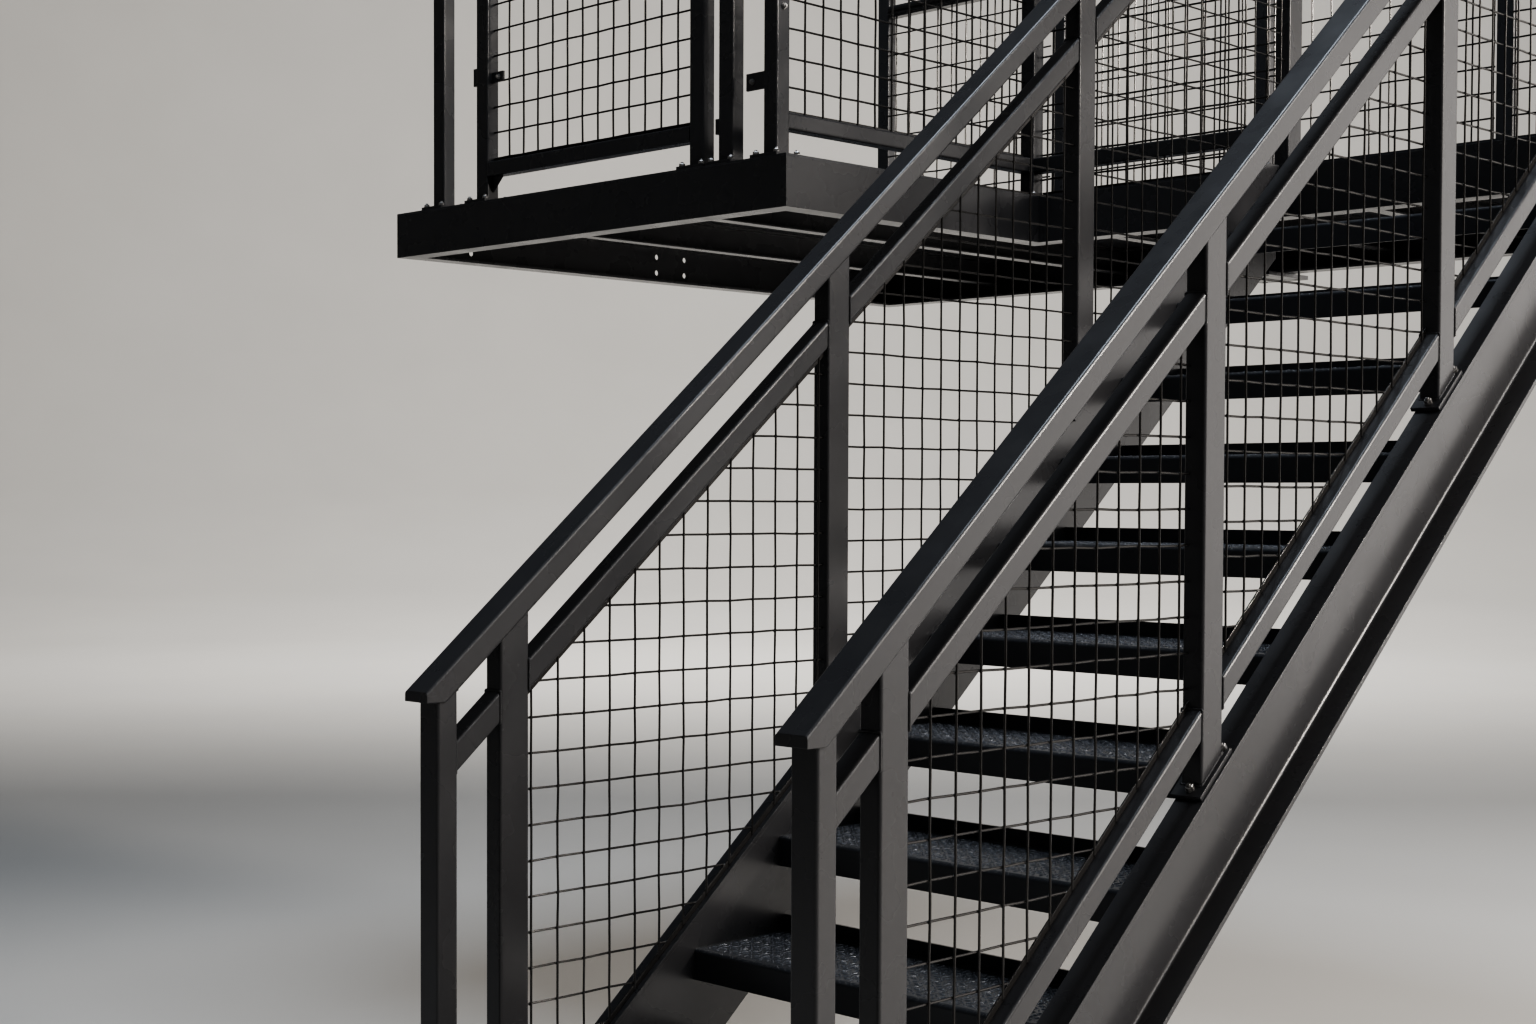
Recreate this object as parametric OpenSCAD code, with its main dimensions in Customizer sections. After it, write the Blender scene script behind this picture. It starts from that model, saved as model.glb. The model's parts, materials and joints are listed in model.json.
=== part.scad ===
// Outside fire escape stair of welded steel: one straight flight with open risers,
// mesh balustrades on both stringers, and an L-shaped landing with mesh guards.
// The flight climbs towards +Y, +X is its right-hand side and +Z is up.
// The origin is the middle of the foot plate's underside, on the ground.

/* [Flight] */
// Height of one step
rise = 180; // [168:1:190]
// Going of one step, from nosing to nosing
going = 214; // [208:1:225]
// Distance between the centre planes of the two balustrades
flight_w = 840; // [800:1:1200]
// Distance of the first nosing from the middle of the foot plate
first_nosing = 85; // [75:1:95]

/* [Stringers] */
// Depth of a stringer channel
beam_h = 200; // [190:1:220]
// Width of a stringer's flanges, which point away from the treads
beam_w = 54; // [50:1:70]
// Thickness of a stringer's flanges
beam_flange = 8.5; // [7:0.5:12]
// Thickness of a stringer's web
beam_web = 6; // [5:0.5:9]
// Radius between a stringer's web and flanges
beam_root = 6; // [5:1:9]
// Height of the top flange above the line of the nosings, measured plumb
flange_above_nosing = 45; // [40:1:60]
// Thickness of the plate at the head of a stringer
head_plate_t = 10; // [8:1:15]

/* [Foot plate] */
// Length of the foot plate along the flight
foot_l = 310; // [300:1:340]
// Thickness of the foot plate
foot_t = 12; // [10:1:20]
// How far the foot plate reaches past a stringer's flange
foot_margin = 15; // [5:1:40]
// Distance of the stringers' plumb cut from the first nosing
foot_cut = 200; // [190:1:210]
// Diameter of the anchor holes
anchor_d = 18; // [14:1:24]
// Spacing of the foot plate's anchor holes across the flight
foot_hole_x = 620; // [560:1:640]
// Spacing of the foot plate's anchor holes along the flight
foot_hole_y = 210; // [180:1:230]

/* [Treads] */
// Depth of a tread from nosing to back
tread_d = 236; // [230:1:250]
// Thickness of a tread's plate
tread_t = 5; // [4:0.5:6]
// Height of a tread's front fold
tread_front = 56; // [40:1:60]
// Height of the upstand at the back of a tread
tread_back = 30; // [20:1:40]
// Outer radius of a tread's folds
fold_r = 8; // [7:0.5:12]

/* [Posts and rails] */
// Width of a post across the balustrade
post_w = 40; // [36:1:60]
// Depth of a post along the balustrade
post_d = 60; // [40:1:70]
// Width of a newel across the balustrade
newel_w = 50; // [40:1:60]
// Depth of a newel along the balustrade
newel_d = 40; // [36:1:60]
// Wall of the post and rail tubes
tube_wall = 3; // [2:0.5:4]
// Corner radius of the tubes
tube_r = 5; // [4:0.5:7]
// Distance of the first post of the mesh from the first nosing
first_post = 235; // [225:1:245]
// Distance between the first posts of the mesh
bay = 780; // [740:1:800]
// Distance from a newel to the next post
newel_bay = 140; // [130:1:150]
// Width of a handrail
hand_w = 60; // [50:1:70]
// Depth of a handrail
hand_d = 40; // [36:1:50]
// Height of the handrail's top above a stringer's top flange, measured plumb
hand_above_flange = 950; // [900:1:1050]
// How far a handrail reaches past the newel
hand_overhang = 24; // [10:1:40]
// Height of the plumb face at a handrail's lower end
hand_tip = 17; // [12:1:22]
// Side of the square mesh rails
rail_d = 40; // [30:1:45]
// Gap between the handrail and the rail over the mesh, measured square to them
rail_gap_top = 65; // [40:1:90]
// Gap between the flange or deck and the rail under the mesh, measured square to them
rail_gap_low = 63; // [50:1:90]
// Length of the base plate of a post on a stringer
base_l = 115; // [110:1:140]
// Width of the base plate of a post on a stringer
base_w = 58; // [56:1:62]
// How far such a base plate reaches past the back of the stringer, towards the treads
base_in = 8; // [7:1:12]
// Side of the square base plates on the deck
deck_base = 90; // [80:1:98]
// Thickness of a post's base plate
base_t = 8; // [6:1:10]

/* [Mesh] */
// Spacing of the mesh wires
mesh_pitch = 60; // [50:1:80]
// Thickness of a mesh wire
wire_d = 4; // [3:0.5:5]
// Height of the flat strip that carries the wires' ends, measured square to the rail
strip_h = 10; // [6:1:15]
// Distance of the mesh from a balustrade's centre plane, towards the walkway
mesh_inset = 8; // [0:1:10]
// Width of the flat bar on the left stringer, on which the mesh stands
sole_w = 24; // [18:1:30]
// Gap under the landing's mesh, which lies against the inner side of its rails
mesh_foot = 12; // [5:1:40]

/* [Landing] */
// Depth of the landing at the head of the flight
landing_d = 1150; // [1000:1:1400]
// Length of the balcony that reaches back beside the flight
balcony_l = 960; // [900:1:1300]
// Width of the balcony
balcony_w = 1566; // [1400:1:1700]
// Distance of the balcony's free edge from the middle of the flight
balcony_off = 1130; // [1050:1:1300]
// Distance of the guards' centre planes from the landing's edges
guard_inset = 70; // [50:1:80]
// Distance of the balcony's guard from its front edge
balcony_inset = 48; // [46:1:80]
// Distance of the balcony's guard from its free side
return_inset = 80; // [50:1:100]
// Depth of the landing's edge channels
edge_h = 120; // [110:1:140]
// Width of the edge channels' flanges
edge_w = 60; // [45:1:65]
// Thickness of the edge channels' webs
edge_web = 6; // [5:0.5:8]
// Thickness of the edge channels' flanges
edge_flange = 8; // [6:0.5:10]
// Thickness of the deck plates
deck_t = 5; // [4:0.5:8]
// Depth of the joists
joist_h = 80; // [60:1:90]
// Width of the joists
joist_w = 40; // [30:1:50]
// Thickness of the joists
joist_t = 5; // [4:0.5:6]

/* [Landing guards] */
// Side of the square corner posts
corner_post = 45; // [40:1:60]
// Width of the other landing posts along their guard
guard_post = 50; // [45:1:60]
// Distance from the balcony's corner post to the next post
balcony_step_1 = 156; // [130:1:180]
// Distance from there to the mesh panel's post
balcony_step_2 = 104; // [100:1:160]
// Distance between the two posts beside the wall
balcony_step_3 = 200; // [150:1:220]
// Distance of the last balcony post from the wall
wall_post = 160; // [80:1:180]

/* [Fixing to the building] */
// Spacing of the anchor holes along the wall channel in each group
wall_hole_y = 120; // [80:1:160]
// Spacing of the anchor holes up the wall channel's web
wall_hole_z = 50; // [40:1:60]
// Distance of the outer anchor groups from the ends of the wall channel
wall_group_end = 200; // [150:1:300]
// Length of a bearing plate across the wall under the landing
bearing_l = 220; // [200:1:260]
// Width of a bearing plate
bearing_w = 160; // [140:1:200]
// Thickness of a bearing plate
bearing_t = 12; // [10:1:20]
// Distance of a bearing plate's holes from its edges
bearing_edge = 25; // [22:1:30]

/* [Hidden] */
$fn = 32;

// Satin anthracite paint, and a lighter worn tone for what is walked on
paint = [0.23, 0.24, 0.26];
worn = [0.33, 0.34, 0.35];

// The flight
rises = 13;
pitch = atan(rise / going);
slope = rise / going;
landing_z = rises * rise;
land_front = first_nosing + (rises - 1) * going;
land_back = land_front + landing_d;
web_x = (flight_w - post_w) / 2;
deck_under = landing_z - deck_t;
cut_room = 400;

// Heights of the sloping members over a point y along the flight
function plumb(t) = t / cos(pitch);
function flange_z(y) = rise + (y - first_nosing) * slope + flange_above_nosing;
function hand_top(y) = flange_z(y) + hand_above_flange;
function hand_under(y) = hand_top(y) - plumb(hand_d);
function mid_top(y) = hand_under(y) - plumb(rail_gap_top);
function low_top(y) = flange_z(y) + plumb(rail_gap_low + rail_d);
function sole_top(y) = flange_z(y) + plumb(base_t);
function post_foot(y) = flange_z(y) + plumb(base_t) / 2;

// Posts of the flight: the newel, three posts on the stringer, and the head post
head_y = land_front + guard_inset;
post_y = [for (i = [0:3]) i < 3 ? first_nosing + first_post + i * bay : head_y];
newel_y = post_y[0] - newel_bay;
hand_low_y = newel_y - newel_d / 2 - hand_overhang;
hand_high_y = head_y - hand_w / 2;
tip_z = hand_top(hand_low_y) - hand_tip;
knee_y = hand_low_y + (plumb(hand_d) - hand_tip) / slope;

// The landing guards meet the sloping handrails on the head posts
guard_top = hand_top(hand_high_y) - (plumb(hand_d) - hand_d) / 2;
guard_under = guard_top - hand_d;
guard_mid_top = guard_under - rail_gap_top;
guard_low_top = landing_z + base_t + rail_gap_low + rail_d;

// Plan of the landing
x_side = flight_w / 2 + guard_inset;
x_free = -balcony_off;
x_wall = x_free - balcony_w;
balcony_y = land_front - balcony_l;
guard_x = flight_w / 2;
row_balcony = balcony_y + balcony_inset;
row_return = x_free - return_inset;
row_back = land_back - guard_inset;
wall_gap = 25;
sheet_side = (rail_d + wire_d) / 2;

// Posts along the balcony, from the corner to the wall: the mesh panel is between the middle two
balcony_x = [
    row_return - balcony_step_1,
    row_return - balcony_step_1 - balcony_step_2,
    x_wall + wall_post + balcony_step_3,
    x_wall + wall_post
];
// Posts along the back, from the corner over the flight's right side to the wall
back_end = x_wall + wall_gap + guard_post / 2;
back_bays = 4;
back_x = [for (i = [1:back_bays]) guard_x - i * (guard_x - back_end) / back_bays];

// Joists: evenly spaced under the balcony's part and under the head of the flight
wall_bays = 3;
head_bays = 4;
joist_x = concat(
    [for (i = [1:wall_bays - 1]) x_wall + i * balcony_w / wall_bays],
    [x_free + joist_w / 2],
    [for (i = [1:head_bays - 1]) x_free + i * (x_side - x_free) / head_bays]
);

// Anchor groups on the wall channel, and bearing plates under the back channel
wall_groups = [balcony_y + wall_group_end, (balcony_y + land_back) / 2, land_back - wall_group_end];
bearing_x = [x_free, 0];

// Sections, drawn in the plane across the member
module rounded(w, h, r) {
    square([w - 2 * r, h], center = true);
    square([w, h - 2 * r], center = true);
    for (x = [-1, 1], y = [-1, 1])
        translate([x * (w / 2 - r), y * (h / 2 - r)]) circle(r);
}

module tube_section(w, h) {
    difference() {
        rounded(w, h, tube_r);
        square([w - 2 * tube_wall, h - 2 * tube_wall], center = true);
    }
}

module root_fillet() {
    difference() {
        square(beam_root);
        translate([beam_root, beam_root]) circle(beam_root);
    }
}

// A stringer's channel with its back at x = 0 and its toes towards +x
module beam_section() {
    translate([0, -beam_h / 2]) square([beam_web, beam_h]);
    for (m = [0, 1]) mirror([0, m]) {
        translate([0, beam_h / 2 - beam_flange]) square([beam_w, beam_flange]);
        translate([beam_web, beam_flange - beam_h / 2]) root_fillet();
    }
}

// A channel with its back at x = 0, its toes towards +x and its top at y = 0
module channel_section(w, h, web, flange) {
    translate([0, -h]) square([web, h]);
    for (y = [-flange, -h]) translate([0, y]) square([w, flange]);
}

// Sloping members: the section's y is square to the slope, and its middle passes z0 at y = 0
module along_pitch(y0, y1, z0, room = cut_room) {
    intersection() {
        translate([0, y0, z0 + y0 * slope])
            rotate([pitch - 90, 0, 0])
                translate([0, 0, -room])
                    linear_extrude((y1 - y0) / cos(pitch) + 2 * room) children();
        translate([-flight_w, y0, 0]) cube([2 * flight_w, y1 - y0, guard_top + room]);
    }
}

// A side view in y and z, given a width across the flight
module side_view(width) {
    translate([-width / 2, 0, 0]) rotate([90, 0, 90]) linear_extrude(width) children();
}

module rail_along_pitch(y0, y1, top0) {
    along_pitch(y0, y1, top0 - plumb(rail_d) / 2) tube_section(rail_d, rail_d);
}

// Level members
module rail_x(x0, x1, y, top, w = rail_d, h = rail_d) {
    translate([x0, y, top - h / 2]) rotate([90, 0, 90]) linear_extrude(x1 - x0) tube_section(w, h);
}

module rail_y(y0, y1, x, top, w = rail_d, h = rail_d) {
    translate([x, y1, top - h / 2]) rotate([90, 0, 0]) linear_extrude(y1 - y0) tube_section(w, h);
}

module side(s) {
    translate([s * flight_w / 2, 0, 0]) children();
}

// What is drawn for the right stringer, with its inner face at x = 0
module stringer_side(s) {
    translate([s * web_x, 0, 0]) mirror([s < 0 ? 1 : 0, 0, 0]) children();
}

// Foot plate
module foot_plate() color(paint) {
    width = 2 * (web_x + beam_w + foot_margin);
    difference() {
        translate([-width / 2, -foot_l / 2, 0]) cube([width, foot_l, foot_t]);
        for (x = [-1, 1], y = [-1, 1])
            translate([x * foot_hole_x / 2, y * foot_hole_y / 2, -1])
                cylinder(h = foot_t + 2, d = anchor_d);
    }
}

// Stringer: a channel cut level on the foot plate and plumb against its head plate
module stringer(s) color(paint) stringer_side(s) {
    low = first_nosing - foot_cut;
    high = land_front - head_plate_t;
    intersection() {
        along_pitch(low, high, flange_z(0) - plumb(beam_h / 2)) beam_section();
        translate([-beam_w, low, foot_t]) cube([2 * beam_w, high - low, landing_z - foot_t]);
    }
    translate([0, high, landing_z - beam_h]) cube([beam_w, head_plate_t, beam_h]);
}

// Tread: one folded plate with a deep front and an upstand at the back
module fold() {
    intersection() {
        difference() {
            circle(fold_r);
            circle(fold_r - tread_t);
        }
        translate([-fold_r, 0]) square(fold_r);
    }
}

module tread_section() {
    translate([0, -tread_front]) square([tread_t, tread_front - fold_r]);
    translate([fold_r, -fold_r]) fold();
    translate([fold_r, -tread_t]) square([tread_d - 2 * fold_r, tread_t]);
    translate([tread_d - fold_r, fold_r - tread_t]) rotate(180) fold();
    translate([tread_d - tread_t, fold_r - tread_t])
        square([tread_t, tread_back - fold_r + tread_t]);
}

module tread(i) color(worn) {
    translate([0, first_nosing + (i - 1) * going, i * rise])
        side_view(2 * web_x) tread_section();
}

// Posts of the flight, cut to the slope above, and let into their base plates below
module sloping_posts(w, d, ys) {
    intersection() {
        for (y = ys) translate([0, y, 0]) linear_extrude(guard_top) tube_section(w, d);
        side_view(2 * w) polygon([
            [hand_low_y, tip_z], [knee_y, tip_z], [head_y, hand_under(head_y)],
            [head_y, post_foot(head_y)],
            [hand_low_y, post_foot(hand_low_y)]
        ]);
    }
}

// A base plate on a stringer
module sloping_base(y) {
    translate([0, y, flange_z(y)]) rotate([pitch, 0, 0])
        translate([-base_in, -base_l / 2, 0]) cube([base_w, base_l, base_t]);
}

// A flat bar on a stringer, as thick as the base plates, from one plate to the next
module sole_bar(y0, y1) {
    translate([0, y0, flange_z(y0)]) rotate([pitch, 0, 0])
        translate([0, base_l / 2, 0]) cube([sole_w, plumb(y1 - y0) - base_l, base_t]);
}

// A post on the deck, with its base plate
module deck_post(w, d) {
    translate([0, 0, landing_z + base_t])
        linear_extrude(guard_under - landing_z - base_t) tube_section(w, d);
    translate([-deck_base / 2, -deck_base / 2, landing_z]) cube([deck_base, deck_base, base_t]);
}

module corner_deck_post() {
    deck_post(corner_post, corner_post);
}

module flight_posts(s) color(paint) {
    side(s) {
        sloping_posts(newel_w, newel_d, [newel_y]);
        sloping_posts(post_w, post_d, [for (i = [0:2]) post_y[i]]);
        translate([0, head_y, 0]) deck_post(post_w, post_d);
    }
    stringer_side(s) for (y = [newel_y, post_y[0], post_y[1], post_y[2]]) sloping_base(y);
}

// Handrail of the flight: closed at its lower end, with the lower corner cut level
module handrail(s) color(paint) side(s) {
    middle = hand_top(0) - plumb(hand_d / 2);
    difference() {
        intersection() {
            along_pitch(hand_low_y, hand_high_y, middle) rounded(hand_w, hand_d, tube_r);
            translate([-hand_w, hand_low_y, tip_z])
                cube([2 * hand_w, hand_high_y - hand_low_y, guard_top]);
        }
        intersection() {
            along_pitch(hand_low_y + tube_wall, hand_high_y + 1, middle)
                square([hand_w - 2 * tube_wall, hand_d - 2 * tube_wall], center = true);
            translate([-hand_w, hand_low_y, tip_z + tube_wall])
                cube([2 * hand_w, hand_high_y - hand_low_y + 1, guard_top]);
        }
    }
}

module mid_rails(s) color(paint) side(s) {
    rail_along_pitch(newel_y + newel_d / 2, post_y[0] - post_d / 2, mid_top(0));
    for (i = [0:2])
        rail_along_pitch(post_y[i] + post_d / 2, post_y[i + 1] - post_d / 2, mid_top(0));
}

// The right balustrade has tubes under its mesh, and the left one has flat bars on the flange
module low_rails_right() color(paint) side(1) {
    for (i = [0:2])
        rail_along_pitch(post_y[i] + post_d / 2, post_y[i + 1] - post_d / 2, low_top(0));
}

module low_rails_left() color(paint) stringer_side(-1) {
    for (i = [0, 1]) sole_bar(post_y[i], post_y[i + 1]);
    intersection() {
        sole_bar(post_y[2], head_y + base_l);
        translate([-beam_w, 0, 0]) cube([2 * beam_w, land_front - head_plate_t, landing_z]);
    }
}

// Mesh sheet between two posts: low and high give its edges' heights at both ends.
// The wires start at the first post, and a strip runs along the upper and lower edges.
module mesh_sheet(len, low0, high0, tilt = 0, strip = strip_h) {
    open = mesh_pitch - wire_d;
    rows = ceil((high0 - low0 + abs(tilt)) / mesh_pitch) + 1;
    difference() {
        polygon([[0, low0], [len, low0 + tilt], [len, high0 + tilt], [0, high0]]);
        intersection() {
            polygon([
                [wire_d, low0 + strip], [len - wire_d, low0 + strip + tilt],
                [len - wire_d, high0 - strip + tilt], [wire_d, high0 - strip]
            ]);
            for (i = [0:ceil(len / mesh_pitch) - 1], j = [0:rows])
                translate([i * mesh_pitch + wire_d, low0 + j * mesh_pitch]) square(open);
        }
    }
}

module sheet_along_y(x, y) {
    translate([x - wire_d / 2, y, 0]) rotate([90, 0, 90]) linear_extrude(wire_d) children();
}

module sheet_along_x(x, y) {
    translate([x, y + wire_d / 2, 0]) rotate([90, 0, 0]) linear_extrude(wire_d) children();
}

module flight_mesh(s, i, low0) color(worn) side(s) {
    y0 = post_y[i] + post_d / 2;
    len = post_y[i + 1] - post_y[i] - post_d;
    sheet_along_y(-s * mesh_inset, y0)
        mesh_sheet(len, low0 + y0 * slope, mid_top(y0) - plumb(rail_d), len * slope, plumb(strip_h));
}

// Landing: channels round the edge, mitred at the corners, with their backs outward.
// turn0 and turn1 are 1 at an outer corner and -1 at an inner one.
module edge_channel(len, turn0 = 1, turn1 = 1) {
    intersection() {
        translate([-edge_w, 0, deck_under]) rotate([90, 0, 90])
            linear_extrude(len + 2 * edge_w) channel_section(edge_w, edge_h, edge_web, edge_flange);
        translate([0, 0, deck_under - edge_h]) linear_extrude(edge_h)
            polygon([[0, 0], [len, 0], [len - turn1 * edge_w, edge_w], [turn0 * edge_w, edge_w]]);
    }
}

module edge_balcony() color(paint) {
    translate([x_wall, balcony_y, 0]) edge_channel(balcony_w);
}

module edge_return() color(paint) {
    translate([x_free, balcony_y, 0]) rotate(90) edge_channel(balcony_l, 1, -1);
}

module edge_front() color(paint) {
    translate([x_free, land_front, 0]) edge_channel(x_side - x_free, -1, 1);
}

module edge_side() color(paint) {
    translate([x_side, land_front, 0]) rotate(90) edge_channel(landing_d);
}

module edge_back() color(paint) {
    translate([x_side, land_back, 0]) rotate(180) edge_channel(x_side - x_wall);
}

module edge_wall() color(paint) {
    difference() {
        translate([x_wall, land_back, 0]) rotate(270) edge_channel(land_back - balcony_y);
        for (y = wall_groups, i = [-1, 1], j = [-1, 1])
            translate([x_wall - 1, y + i * wall_hole_y / 2, deck_under - edge_h / 2 + j * wall_hole_z / 2])
                rotate([0, 90, 0]) cylinder(h = edge_web + 2, d = anchor_d);
    }
}

// Joist with its top corners notched to pass under the edge channels' flanges
module joist(y0, y1) {
    difference() {
        translate([-joist_w / 2, y1, deck_under]) rotate([90, 0, 0])
            linear_extrude(y1 - y0) channel_section(joist_w, joist_h, joist_t, joist_t);
        for (y = [y0 - 1, y1 - edge_w + edge_web])
            translate([-joist_w, y, deck_under - edge_flange])
                cube([2 * joist_w, edge_w - edge_web + 1, edge_flange + 1]);
    }
}

module joists() color(paint) {
    for (x = joist_x)
        translate([x, 0, 0])
            joist((x < x_free ? balcony_y : land_front) + edge_web, land_back - edge_web);
}

module deck(x0, x1, y0, y1) color(worn) {
    translate([x0, y0, deck_under]) cube([x1 - x0, y1 - y0, deck_t]);
}

// Guards of the landing
module posts_balcony() color(paint) {
    for (x = balcony_x)
        translate([x, row_balcony, 0]) rotate(90) deck_post(post_w, guard_post);
    translate([row_return, row_balcony, 0]) corner_deck_post();
}

module posts_return() color(paint) {
    translate([row_return, head_y, 0]) corner_deck_post();
}

module posts_back() color(paint) {
    for (x = back_x) translate([x, row_back, 0]) rotate(90) deck_post(post_w, guard_post);
    translate([guard_x, row_back, 0]) corner_deck_post();
}

module handrail_balcony() color(paint) {
    rail_x(x_wall + wall_gap, row_return + hand_w / 2, row_balcony, guard_top, hand_w, hand_d);
}

module handrail_return() color(paint) {
    rail_y(row_balcony + hand_w / 2, head_y - hand_w / 2, row_return, guard_top, hand_w, hand_d);
}

module handrail_front() color(paint) {
    rail_x(row_return - hand_w / 2, hand_w / 2 - guard_x, head_y, guard_top, hand_w, hand_d);
}

module handrail_side() color(paint) {
    rail_y(head_y - hand_w / 2, row_back - hand_w / 2, guard_x, guard_top, hand_w, hand_d);
}

module handrail_back() color(paint) {
    rail_x(x_wall + wall_gap, guard_x + hand_w / 2, row_back, guard_top, hand_w, hand_d);
}

module rail_pair_x(x0, x1, y) {
    for (top = [guard_mid_top, guard_low_top]) rail_x(x0, x1, y, top);
}

module rail_pair_y(y0, y1, x) {
    for (top = [guard_mid_top, guard_low_top]) rail_y(y0, y1, x, top);
}

module panel_rails_balcony() color(paint) {
    rail_pair_x(balcony_x[2] + guard_post / 2, balcony_x[1] - guard_post / 2, row_balcony);
    rail_pair_y(row_balcony + corner_post / 2, head_y - corner_post / 2, row_return);
}

module panel_rails_front() color(paint) {
    rail_pair_x(row_return + corner_post / 2, -guard_x - post_w / 2, head_y);
    rail_pair_y(head_y + post_d / 2, row_back - corner_post / 2, guard_x);
}

module panel_rails_back() color(paint) {
    for (i = [0:back_bays - 1]) {
        right = i == 0 ? guard_x - corner_post / 2 : back_x[i - 1] - guard_post / 2;
        rail_pair_x(back_x[i] + guard_post / 2, right, row_back);
    }
}

// Sheet between the rails, and sheet against the inner side of the rails, down to the deck
module panel_sheet(len) {
    mesh_sheet(len, guard_low_top, guard_mid_top - rail_d);
}

module guard_sheet(len) {
    mesh_sheet(len, landing_z + mesh_foot, guard_mid_top - strip_h);
}

module mesh_balcony() color(worn) {
    x0 = balcony_x[2] + guard_post / 2;
    sheet_along_x(x0, row_balcony + mesh_inset) panel_sheet(balcony_x[1] - guard_post / 2 - x0);
}

module mesh_return() color(worn) {
    y0 = row_balcony + corner_post / 2;
    sheet_along_y(row_return - mesh_inset, y0) panel_sheet(head_y - corner_post / 2 - y0);
}

module mesh_front() color(worn) {
    x0 = row_return + corner_post / 2;
    sheet_along_x(x0, head_y + sheet_side) guard_sheet(-guard_x - post_w / 2 - x0);
}

module mesh_side() color(worn) {
    y0 = head_y + post_d / 2;
    sheet_along_y(guard_x - sheet_side, y0) guard_sheet(row_back - corner_post / 2 - y0);
}

module mesh_back(bays) color(worn) {
    for (i = bays) {
        x0 = back_x[i] + guard_post / 2;
        x1 = i == 0 ? guard_x - corner_post / 2 : back_x[i - 1] - guard_post / 2;
        sheet_along_x(x0, row_back - sheet_side) guard_sheet(x1 - x0);
    }
}

// Plates on top of the wall under the landing, which carry the back channel
module bearing_plates() color(paint) {
    for (x = bearing_x)
        translate([x, land_back - edge_w / 2, deck_under - edge_h - bearing_t])
            difference() {
                translate([-bearing_w / 2, -bearing_l / 2, 0]) cube([bearing_w, bearing_l, bearing_t]);
                for (i = [-1, 1], j = [-1, 1])
                    translate([i * (bearing_w / 2 - bearing_edge), j * (bearing_l / 2 - bearing_edge), -1])
                        cylinder(h = bearing_t + 2, d = anchor_d);
            }
}

foot_plate();
stringer(-1);  // stringer_left
stringer(1);  // stringer_right
tread(1);  // tread_01
tread(2);  // tread_02
tread(3);  // tread_03
tread(4);  // tread_04
tread(5);  // tread_05
tread(6);  // tread_06
tread(7);  // tread_07
tread(8);  // tread_08
tread(9);  // tread_09
tread(10);  // tread_10
tread(11);  // tread_11
tread(12);  // tread_12
flight_posts(-1);  // posts_left
flight_posts(1);  // posts_right
handrail(-1);  // handrail_left
handrail(1);  // handrail_right
mid_rails(-1);  // mid_rails_left
mid_rails(1);  // mid_rails_right
low_rails_left();
low_rails_right();
flight_mesh(-1, 0, sole_top(0));  // mesh_left_1
flight_mesh(-1, 1, sole_top(0));  // mesh_left_2
flight_mesh(-1, 2, sole_top(0));  // mesh_left_3
flight_mesh(1, 0, low_top(0));  // mesh_right_1
flight_mesh(1, 1, low_top(0));  // mesh_right_2
flight_mesh(1, 2, low_top(0));  // mesh_right_3
edge_balcony();
edge_return();
edge_front();
edge_side();
edge_back();
edge_wall();
joists();
deck(x_wall, x_free, balcony_y, land_front);  // deck_balcony
deck(x_wall, x_free, land_front, land_back);  // deck_landing
deck(x_free, x_side, land_front, land_back);  // deck_head
posts_balcony();
posts_return();
posts_back();
handrail_balcony();
handrail_return();
handrail_front();
handrail_side();
handrail_back();
panel_rails_balcony();
panel_rails_front();
panel_rails_back();
mesh_balcony();
mesh_return();
mesh_front();
mesh_side();
mesh_back([0, 1]);  // mesh_back_1
mesh_back([2, 3]);  // mesh_back_2
bearing_plates();
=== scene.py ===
"""Finish of an outside fire escape stair: painted steel, welded wire mesh, welds, bolts and tread pattern.

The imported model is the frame. Each operator makes one group of pieces on it, in metres and in the frame's own
axes.
"""
import json
import math
import random

import bmesh
import bpy
from bpy.props import FloatProperty, FloatVectorProperty, IntProperty, PointerProperty
from mathutils import Matrix, Vector


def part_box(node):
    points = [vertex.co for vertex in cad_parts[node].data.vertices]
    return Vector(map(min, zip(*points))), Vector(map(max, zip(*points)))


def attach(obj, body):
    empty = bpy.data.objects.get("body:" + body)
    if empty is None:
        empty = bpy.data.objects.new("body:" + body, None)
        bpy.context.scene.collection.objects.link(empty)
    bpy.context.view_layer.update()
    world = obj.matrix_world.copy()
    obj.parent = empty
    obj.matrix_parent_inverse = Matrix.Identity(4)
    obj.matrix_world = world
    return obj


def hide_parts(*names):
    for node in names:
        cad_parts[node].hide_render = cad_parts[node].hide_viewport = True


bl_info = {
    "name": "Fire escape stair finish",
    "version": (1, 0, 0),
    "blender": (4, 5, 0),
    "location": "View3D > Sidebar > Stair",
    "description": "Dresses a steel stair with paint, wire mesh, welds, bolts and tread pattern",
    "category": "Object",
}

BODY = "root"
PAINT_SLOT, TREAD_SLOT, WIRE_SLOT = "anthracite_paint", "tread_plate", "mesh_wire"

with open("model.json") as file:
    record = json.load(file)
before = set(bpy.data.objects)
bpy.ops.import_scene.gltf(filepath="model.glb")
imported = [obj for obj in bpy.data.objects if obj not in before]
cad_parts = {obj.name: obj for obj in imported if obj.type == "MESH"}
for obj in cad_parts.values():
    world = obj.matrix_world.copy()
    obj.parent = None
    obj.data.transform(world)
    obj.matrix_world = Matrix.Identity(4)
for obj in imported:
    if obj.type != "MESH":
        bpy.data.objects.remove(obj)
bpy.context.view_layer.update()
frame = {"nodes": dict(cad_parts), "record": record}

# The flight's members, read from the frame
SIDES = {"left": -1, "right": 1}
TREADS = sorted(name for name in frame["nodes"] if name.startswith("tread_"))
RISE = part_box(TREADS[1])[0].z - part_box(TREADS[0])[0].z
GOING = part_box(TREADS[1])[0].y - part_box(TREADS[0])[0].y
SLOPE = RISE / GOING
PITCH = math.atan(SLOPE)
GUARD_X = sum(corner.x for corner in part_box("handrail_right")) / 2
DECK_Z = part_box("deck_landing")[1].z
GUARD_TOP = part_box("handrail_back")[1].z
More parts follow.
